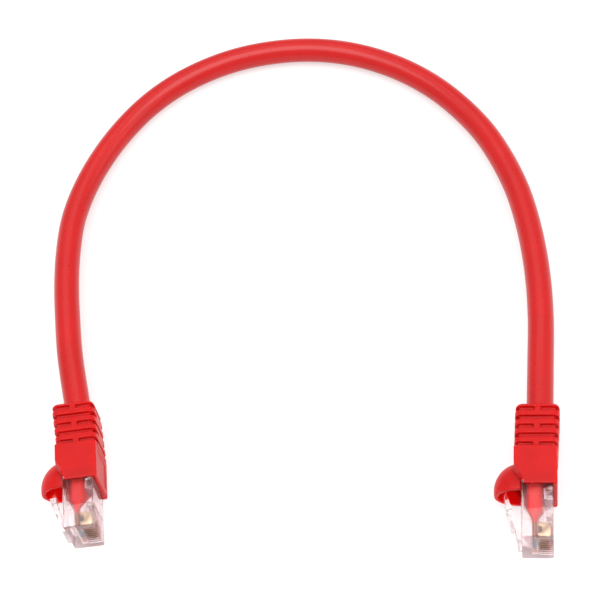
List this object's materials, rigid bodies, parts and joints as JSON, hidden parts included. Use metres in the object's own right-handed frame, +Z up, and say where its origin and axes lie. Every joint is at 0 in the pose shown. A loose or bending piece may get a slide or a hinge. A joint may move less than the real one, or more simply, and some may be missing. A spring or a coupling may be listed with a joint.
{
  "type": "ethernet patch cable",
  "caption": "Short round patch lead with a clear modular plug, spring latch, and slotted boot with a latch hood at each end.",
  "frame": {"origin": "bottom centre of the box round the two plug ends, on the table", "axes": "+Z up from the table, +Y from the plugs towards the cable's bend, +X from the left plug to the right plug and towards the contact side of both"},
  "size_m": [0.1143, 0.141, 0.0124],
  "materials": {
    "clear_polycarbonate": "clear, glossy, moulded",
    "gold_contact": "gold plated, bright",
    "red_boot": "satin moulded PVC",
    "red_jacket": "satin extruded PVC",
    "insulation_white_orange": "smooth extruded",
    "insulation_orange": "smooth extruded",
    "insulation_white_green": "smooth extruded",
    "insulation_blue": "smooth extruded",
    "insulation_white_blue": "smooth extruded",
    "insulation_green": "smooth extruded",
    "insulation_white_brown": "smooth extruded",
    "insulation_brown": "smooth extruded"
  },
  "bodies": {
    "lead": {"left_plug_housing": "clear_polycarbonate", "left_boot": "red_boot", "left_contact_1": "gold_contact", "left_contact_2": "gold_contact", "left_contact_3": "gold_contact", "left_contact_4": "gold_contact", "left_contact_5": "gold_contact", "left_contact_6": "gold_contact", "left_contact_7": "gold_contact", "left_contact_8": "gold_contact", "right_plug_housing": "clear_polycarbonate", "right_boot": "red_boot", "right_contact_1": "gold_contact", "right_contact_2": "gold_contact", "right_contact_3": "gold_contact", "right_contact_4": "gold_contact", "right_contact_5": "gold_contact", "right_contact_6": "gold_contact", "right_contact_7": "gold_contact", "right_contact_8": "gold_contact", "cable_jacket": "red_jacket", "conductor_1_white_orange": "insulation_white_orange", "conductor_2_orange": "insulation_orange", "conductor_3_white_green": "insulation_white_green", "conductor_4_blue": "insulation_blue", "conductor_5_white_blue": "insulation_white_blue", "conductor_6_green": "insulation_green", "conductor_7_white_brown": "insulation_white_brown", "conductor_8_brown": "insulation_brown"},
    "left_latch_body": {"left_latch": "clear_polycarbonate"},
    "left_hood_body": {"left_hood": "red_boot"},
    "right_latch_body": {"right_latch": "clear_polycarbonate"},
    "right_hood_body": {"right_hood": "red_boot"}
  },
  "joints": [
    {"name": "left_latch_flex", "type": "hinge", "parent": "lead", "child": "left_latch_body", "pos_m": [-0.05077, -0.00987, 0.0062], "axis": [0, 0, -1], "range_deg": [0, 10], "stiffness_Nm_per_rad": 0.005},
    {"name": "left_hood_flex", "type": "hinge", "parent": "lead", "child": "left_hood_body", "pos_m": [-0.05298, 0.00632, 0.0062], "axis": [0, 0, 1], "range_deg": [0, 8], "stiffness_Nm_per_rad": 0.0025},
    {"name": "right_latch_flex", "type": "hinge", "parent": "lead", "child": "right_latch_body", "pos_m": [0.04539, -0.01804, 0.0062], "axis": [0, 0, -1], "range_deg": [0, 10], "stiffness_Nm_per_rad": 0.005},
    {"name": "right_hood_flex", "type": "hinge", "parent": "lead", "child": "right_hood_body", "pos_m": [0.04546, -0.0009, 0.0062], "axis": [0, 0, 1], "range_deg": [0, 8], "stiffness_Nm_per_rad": 0.0025}
  ],
  "couplings": [
    {"joint": "left_hood_flex", "follows": "left_latch_flex", "ratio": 0.8},
    {"joint": "right_hood_flex", "follows": "right_latch_flex", "ratio": 0.8}
  ]
}
